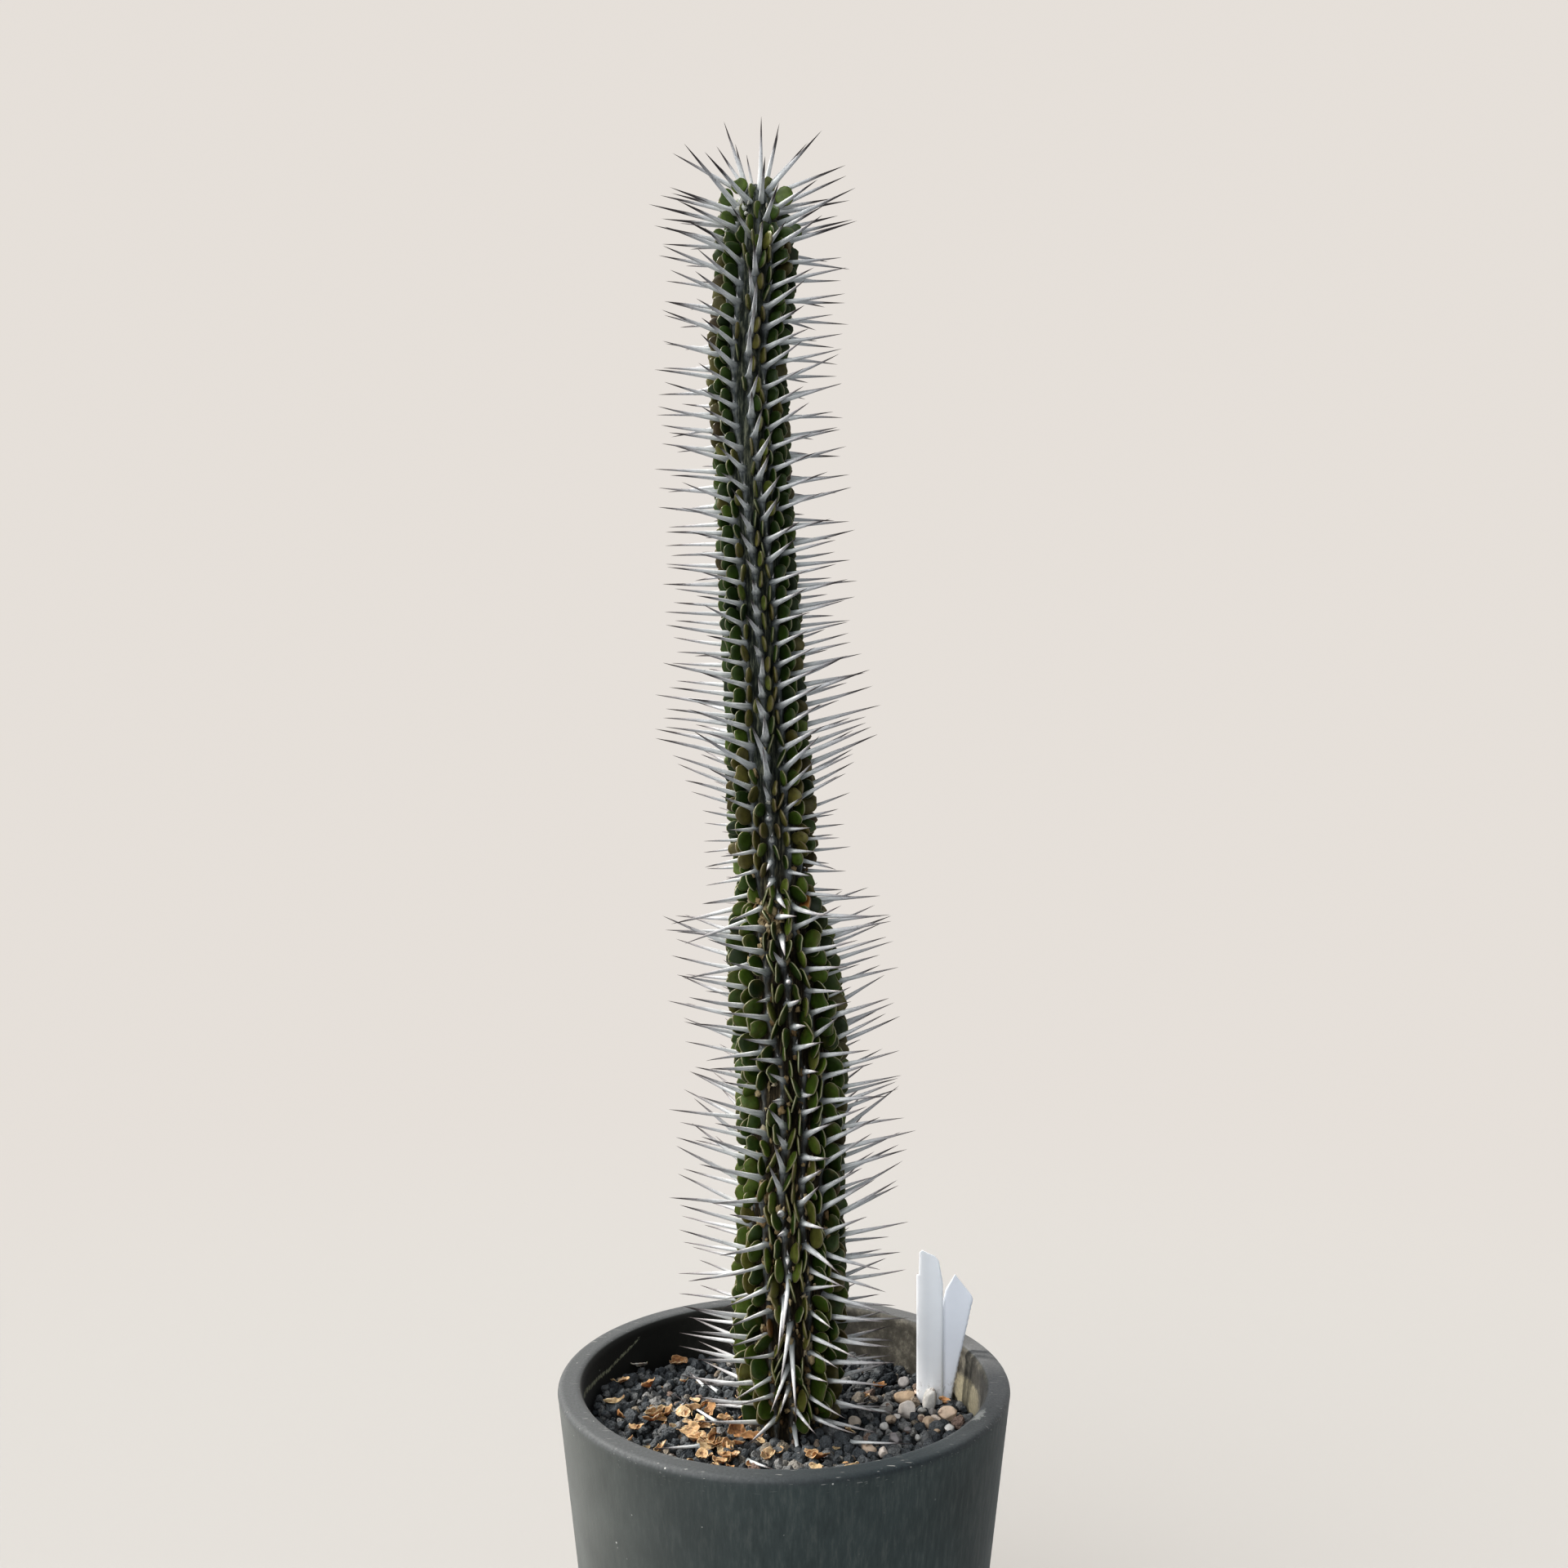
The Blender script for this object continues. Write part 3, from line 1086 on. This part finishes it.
# Fallen dry leaves over the CAD's, in its order: length, width, curl across the leaf, turn and tone
DRY_LEAVES = [
    (10, 9, 120, 20, 0.05), (12, 9, 110, 15, 0.45), (9, 7, 130, 50, 0.10), (11, 5, 40, 25, 0.78),
    (11, 9, 100, -30, 0.62), (9, 8, 140, 10, 0.40), (8, 8, 60, 0, 0.42), (10, 8, 110, 5, 0.28),
    (9, 7, 130, 70, 0.20), (11, 8, 90, 15, 0.12), (8, 7, 120, -10, 0.38), (13, 9, 100, -15, 0.08),
    (8, 6, 110, 30, 0.04), (9, 7, 80, -45, 0.60),
]
# Smaller dry bits: place, length, curl, turn and tone
DRY_BITS = [
    (-74, 53, 10, 70, 10, 1.0), (-60, 36.5, 3.6, 60, 60, 0.0), (-63, 10.8, 5.8, 90, 35, 0.35),
    (-56, -4, 4.6, 90, 80, 0.2), (-3.2, -32, 6.6, 110, 20, 0.3), (-23.5, -46.5, 6, 90, -40, 0.15),
    (-14, -46.4, 5.4, 100, 15, 0.25), (14, -47.5, 7.9, 60, -10, 0.66), (-35, 19, 6, 80, 0, 0.5),
    (-36, 9.6, 7, 120, 30, 0.45), (77.8, 21, 6.8, 90, -40, 0.08), (-45, -11, 5.0, 100, 50, 0.55),
    (-20, -11, 5.0, 100, -20, 0.3), (4, -52, 5.2, 110, 70, 0.35), (23.5, -29, 5.0, 100, 10, 0.75),
    (27, -43, 4.5, 90, -50, 0.3), (-33, -36, 5.4, 120, 65, 0.5), (-62, -33, 6.0, 90, 25, 0.8),
    (40, 28, 5.0, 80, 45, 0.2), (-50, 45, 5.0, 80, 15, 0.5),
]
# The litter: how many bits are thrown, the middle and the spread of their places, and their tones
LITTER = 96
LITTER_MIDDLE = (-27, -15)
LITTER_SPREAD = (24, 26)
# The litter keeps off the stem (place and radius), the wall and the side where the pebbles lie
STEM_CLEARING = (2, 25)
LITTER_REACH = 78
PEBBLE_SIDE = (34, -40)
LITTER_TONES = [0.02, 0.10, 0.2, 0.3, 0.42, 0.55, 0.72]
# A dry leaf's rings, from the middle of one face over the edge to the middle of the other
DRY_SIDES = 24
DRY_RINGS = np.array([0.25, 0.5, 0.72, 0.88, 1.0, 1.0, 0.88, 0.72, 0.5, 0.25])
DRY_FACES = np.repeat([1, -1], 5)
DRY_WAVES = [(2, 0.10), (3, 0.06), (5, 0.03), (9, 0.02)]
DRY_THICKNESS = 0.2
MORE_CURL = 1.35
# Share of the dry leaves that are broken into angular shards
SHARDS = 0.45


def add_dry_leaf(heap, draw, low_point, size, curl, turn, tone, tip):
    """A papery leaf, curled across its width, with a torn wavy edge, its lowest point at low_point."""
    length, width = size
    angles = circle(DRY_SIDES)
    if draw.random() < SHARDS:
        corners = np.sort(draw.uniform(0, 2 * pi, 6))
        ragged = np.interp(angles, corners, draw.uniform(0.45, 1.05, 6), period=2 * pi)
    else:
        ragged = 1 + wavy(draw, angles, DRY_WAVES)
        tear = bell(wrapped(angles - draw.uniform(0, 2 * pi), 2 * pi), 0.25)
        ragged = np.minimum(ragged - 0.4 * tear, 1)
    reach = DRY_RINGS[:, None] * ragged
    u = reach * np.cos(angles)
    radius = width / radians(curl * MORE_CURL) * (1 + 0.35 * u)
    skin = radius - DRY_THICKNESS / 2 * DRY_FACES[:, None]
    angle = width / 2 * reach * np.sin(angles) / radius
    lift = radius - skin * np.cos(angle) + draw.uniform(0.12, 0.30) * length * u ** 2
    leaf = np.stack([length / 2 * u, skin * np.sin(angle), lift], -1).reshape(-1, 3)
    leaf[:, 2] += roughness_at(leaf * [1, 1, 0.3] + draw.uniform(0, 90, 3), 2.0, 6)
    leaf = np.vstack([leaf[:DRY_SIDES].mean(0), leaf, leaf[-DRY_SIDES:].mean(0)])
    y, z = turned(leaf[:, 1], leaf[:, 2], -tip)
    x, y = turned(leaf[:, 0], y, -turn)
    placed = np.stack([x, y, z - z.min()], -1)
    placed[:, :2] -= (placed[:, :2].max(0) + placed[:, :2].min(0)) / 2
    rim = np.pad(np.repeat(DRY_RINGS ** 2, DRY_SIDES), 1)
    faces = capped_faces(len(DRY_RINGS), DRY_SIDES)[:, ::-1]
    heap.add(placed + low_point, faces, rim=rim, tone=tone)


def make_dry_leaves(look):
    draw = np.random.default_rng(5)
    for number, (length, width, curl, turn, tone) in enumerate(DRY_LEAVES, 1):
        name = f"dry_leaf_{number:02d}"
        low_point = node_centre(name)
        low_point[2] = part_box(name)[0].z / MM
        heap = Heap()
        add_dry_leaf(heap, draw, low_point, (length, width), curl, turn, tone, draw.uniform(-22, 22))
        heap.build(f"{name}_curled", look, "dry_leaf", name)
    heap = Heap()
    for _ in range(LITTER):
        x, y = draw.normal(LITTER_MIDDLE, LITTER_SPREAD)
        on_stem = hypot(x - STEM_CLEARING[0], y) < STEM_CLEARING[1]
        among_pebbles = x > PEBBLE_SIDE[0] and y > PEBBLE_SIDE[1]
        if on_stem or hypot(x, y) > LITTER_REACH or among_pebbles:
            continue
        low_point = np.array([x, y, ground_level(x) + draw.uniform(0.8, 3.0)])
        length = draw.uniform(4.5, 12)
        size = (length, length * draw.uniform(0.45, 0.85))
        tone = draw.choice(LITTER_TONES)
        turn = draw.uniform(0, 360)
        add_dry_leaf(heap, draw, low_point, size, draw.uniform(30, 200), turn, tone, draw.normal(0, 50))
    for x, y, length, curl, turn, tone in DRY_BITS:
        low_point = np.array([x, y, ground_level(x) + 1.2])
        size = (length, 0.72 * length)
        add_dry_leaf(heap, draw, low_point, size, curl, turn, tone, draw.uniform(-40, 40))
    heap.build("dry_bits", look, "dry_leaf")


# The pot's crust: where it starts on the inner wall, and a line of it at the left, as direction and height
CRUST_FROM = 172
CRUST_LINE = [
    (-130, 198), (-125, 194.6), (-119, 192.2), (-112, 189.8), (-104, 190.4), (-97, 191), (-90, 193),
    (-80, 195),
]
CRUST_TURN = -105
# An ochre patch on the inner wall, a scuff on the rim and the direction in which the rim is clean
OCHRE_TURN = 103
OCHRE_HEIGHT = 180
SCUFF_TURN = 62
SCUFF_RADIUS = 97
CLEAN_TURN = 24


def rounded(centre_radius, rounding, start, end):
    """Points of a rounded upper edge of the pot's profile, between two angles in degrees."""
    centre_height = POT_HEIGHT - rounding
    angles = np.radians(np.linspace(start, end, 7))
    return [(centre_radius + rounding * cos(a), centre_height + rounding * sin(a)) for a in angles]


def make_pot(look):
    """The pot's shell, with values that say where it is dusty, weathered, crusted or scuffed."""
    line = np.linspace
    rim = rounded(RIM_RADIUS - RIM_ROUNDING, RIM_ROUNDING, 0, 90)
    mouth = rounded(MOUTH_RADIUS + MOUTH_ROUNDING, MOUTH_ROUNDING, 90, 176)
    outside = [
        *line((FOOT_RING_INNER_RADIUS, 0), (FOOT_RADIUS - 2, 0), 3),
        *line((FOOT_RADIUS, 2), (rim[0][0] - 0.3, rim[0][1] - 2), 30),
        *rim,
        *line((RIM_RADIUS - 4, POT_HEIGHT), (MOUTH_RADIUS + MOUTH_ROUNDING + 1, POT_HEIGHT), 4),
        *mouth[:3],
    ]
    within = [
        *mouth[3:],
        *line((MOUTH_RADIUS, WALL_TOP), (wall_radius(CRUST_FROM), CRUST_FROM), 36)[:-1],
        *line((wall_radius(CRUST_FROM), CRUST_FROM), (FLOOR_RADIUS, WALL_FOOT), 20),
        *line((FLOOR_RADIUS - 3.5, FLOOR_HEIGHT), (DRAIN_RADIUS, FLOOR_HEIGHT), 6),
        *line((DRAIN_RADIUS, BASE_RECESS), (FOOT_RING_INNER_RADIUS - 2, BASE_RECESS), 6),
    ]
    points = lathe(outside + within, POT_SIDES)
    faces = ring_faces(len(outside + within) + 1, POT_SIDES) % len(points)
    radius = np.hypot(points[:, 0], points[:, 1])
    height = points[:, 2]
    azimuth = np.degrees(np.arctan2(points[:, 0], -points[:, 1]))
    inner = np.arange(len(points)) >= len(outside) * POT_SIDES
    inside = np.where(inner, smoothstep(height, POT_HEIGHT - 0.05, POT_HEIGHT - 0.6), 0)
    top = smoothstep(height, POT_HEIGHT - 3.4, POT_HEIGHT - 1.2) * (1 - inside)
    dusty = 0.62 + 0.38 * smoothstep(azimuth, 45, 80) - 0.38 * smoothstep(azimuth, 140, 175)
    dusty *= 1 - 0.93 * bell(azimuth - CLEAN_TURN, 38)
    weathered = 0.75 * smoothstep(-azimuth, -8, 62) * smoothstep(azimuth, -178, -120)
    crust = bell(height - value_at(CRUST_LINE, azimuth), np.interp(azimuth, (-125, -95), (1.1, 2.2)))
    heap = Heap()
    heap.add(
        points,
        faces,
        inside=inside,
        bleached=smoothstep(np.sin(np.radians(azimuth)), -0.75, 0.35),
        rim=top,
        dusty=dusty,
        edge=smoothstep(height, POT_HEIGHT - 6, POT_HEIGHT - 2) * (1 - inside),
        weathered=weathered * smoothstep(height, 0, 170),
        crust=crust * inner * smoothstep(np.abs(azimuth - CRUST_TURN), 28, 22),
        ochre=bell(azimuth - OCHRE_TURN, 11, 4) * bell(height - OCHRE_HEIGHT, 10, 4) * inner,
        scuff=bell(azimuth - SCUFF_TURN, 6) * bell(radius - SCUFF_RADIUS, 3) * (height > POT_HEIGHT - 5),
    )
    return heap.build("pot_shell", look, "pot", "pot")


def build_strip(name, look, left, right, heights, place):
    """A thin strip between two edges, rounded along them; place puts its points where it stands."""
    across = np.linspace(-1, 1, STRIP_COLUMNS)
    fullness = TAG_THICKNESS / 2 * np.sqrt(np.clip(1 - np.abs(across) ** 14, 0.04, 1))
    loop = np.concatenate([across, across[::-1]])
    depth = np.concatenate([-fullness, fullness[::-1]])
    x = ((left + right) / 2)[:, None] + loop * ((right - left) / 2)[:, None]
    rings = np.stack(np.broadcast_arrays(x, depth, heights[:, None]), -1)
    heap = Heap()
    heap.add_closed(place(rings[0].mean(0)), place(rings), place(rings[-1].mean(0)))
    return heap.build(f"{name}_strip", look, "tag", name)


def make_tag_1(look):
    """A long upright strip, bowed across its width, with a narrower, slanted head."""
    tag = TAG_1
    half = tag["width"] / 2
    left = 1 - half
    head_right = left + tag["head"]
    shoulder = tag["shoulder"]
    length = tag["length"]
    heights = [np.linspace(-TAG_BURIED, shoulder - 4, 24), np.linspace(shoulder - 3.5, length, 40)]
    heights = np.concatenate(heights)
    left_edge = [
        (-TAG_BURIED, -half), (shoulder - 0.4, -half), (shoulder, left), (length - 1, left + 0.4),
        (length, left + 1.6),
    ]
    right_edge = [
        (-TAG_BURIED, half), (shoulder - 4, half), (length - 5, head_right), (length - 2.4, head_right - 2),
        (length, left + 1.8),
    ]

    def place(points):
        bowed = points + [tag["x"], tag["y"], SOIL_LEVEL]
        bowed[..., 1] += tag["bow"] * (points[..., 0] / half) ** 2 - tag["turn"] * points[..., 0]
        return bowed

    edges = value_at(left_edge, heights), value_at(right_edge, heights)
    return build_strip("tag_1", look, *edges, heights, place)


def make_tag_2(look):
    """A flat strip with a slanted top, leaning to the right, nicked along its right edge."""
    tag = TAG_2
    half = tag["width"] / 2
    shoulder = tag["shoulder"]
    length = tag["length"]
    slant = length - tag["slant"]
    heights = [np.linspace(-TAG_BURIED, shoulder, 80), np.linspace(shoulder + 0.5, length, 30)]
    heights = np.concatenate(heights)
    left_edge = [(-TAG_BURIED, -2), (-12, -half), (slant, -half), (length, 2.9 - half)]
    right_edge = [(-TAG_BURIED, 2), (-12, half), (shoulder, half), (slant, half - 1.2), (length, 3.1 - half)]
    nicks = 0.22 * (np.sin(heights * 2.4) > 0.3) * (heights > 2) * (heights < shoulder)

    def place(points):
        x, z = turned(points[..., 0], points[..., 2], tag["lean"])
        return np.stack([x, points[..., 1], z], -1) + [tag["x"], tag["y"], SOIL_LEVEL]

    edges = value_at(left_edge, heights), value_at(right_edge, heights) - nicks
    return build_strip("tag_2", look, *edges, heights, place)


# The studio: a pale floor that curves up into a backdrop all round, soft lights and the camera
BACKDROP_RADIUS = 2600
BACKDROP_CURVE = 700
BACKDROP_SIDES = 96
# Each lamp's direction and height in degrees, its strength, size in degrees and colour
KEY_LAMP = (-106, 46, 4.5, 8, (1.0, 0.97, 0.93))
FRONT_LAMP = (-40, 36, 2.3, 60, (0.96, 0.98, 1.0))
SKY_COLOUR = (0.86, 0.93, 1.0)
SKY_STRENGTH = 0.44
# The camera, level and in front of the plant
CAMERA_DISTANCE = 685
CAMERA_HEIGHT = 478.7
LENS = 33.49
SENSOR = 36


def make_backdrop(look):
    foot = BACKDROP_RADIUS - BACKDROP_CURVE
    flat = [(radius, 0) for radius in (300, 800, 1300, foot)]
    bend = [
        (foot + BACKDROP_CURVE * sin(a), BACKDROP_CURVE * (1 - cos(a)))
        for a in np.radians(np.linspace(6, 90, 16))
    ]
    profile = [*flat, *bend, (BACKDROP_RADIUS, BACKDROP_RADIUS)]
    points = np.vstack([0 * UP, lathe(profile, BACKDROP_SIDES)])
    faces = capped_faces(len(profile), BACKDROP_SIDES)[:-BACKDROP_SIDES, ::-1]
    backdrop = make_object("backdrop", points, faces, look)
    backdrop.visible_shadow = False
    backdrop.visible_diffuse = False
    backdrop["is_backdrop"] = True


def add_lamp(name, turn, elevation, strength, size, colour):
    lamp = bpy.data.lights.new(name, "SUN")
    lamp.energy = strength
    lamp.angle = radians(size)
    lamp.color = colour
    held = put(name, lamp)
    away = Vector(turned(level_direction(turn), UP, elevation)[0])
    held.location = away * 2
    held.rotation_euler = away.to_track_quat("Z", "Y").to_euler()


def make_studio():
    """A key light from the left, a wide soft one from the front and an even sky all round."""
    make_backdrop(floor_look())
    add_lamp("key", *KEY_LAMP)
    add_lamp("front", *FRONT_LAMP)
    world = bpy.data.worlds.new("studio")
    world.use_nodes = True
    sky = world.node_tree.nodes["Background"].inputs
    sky["Color"].default_value = (*SKY_COLOUR, 1)
    sky["Strength"].default_value = SKY_STRENGTH
    bpy.context.scene.world = world
    bpy.context.scene.view_settings.view_transform = "Standard"
    bpy.context.scene.view_settings.look = "Medium High Contrast"


def make_camera():
    camera = bpy.data.cameras.new("camera")
    camera.lens = LENS
    camera.sensor_width = SENSOR
    camera.clip_start = 0.02
    view = put("camera", camera)
    view.location = (0, -CAMERA_DISTANCE * MM, CAMERA_HEIGHT * MM)
    view.rotation_euler = (radians(90), 0, 0)
    bpy.context.scene.camera = view


make_camera()
make_studio()
make_pot(pot_look())
make_bed(bed_look())
make_gravel(gravel_look())
make_pebbles(pebble_look())
make_dry_leaves(dry_leaf_look())
make_tag_1(tag_look((0.93, 0.94, 0.96)))
make_tag_2(tag_look((0.80, 0.82, 0.87)))
make_plant()

boxes = {"cad": cad_box, "visual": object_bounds()}
{name: [list(corner) for corner in box] for name, box in boxes.items()}
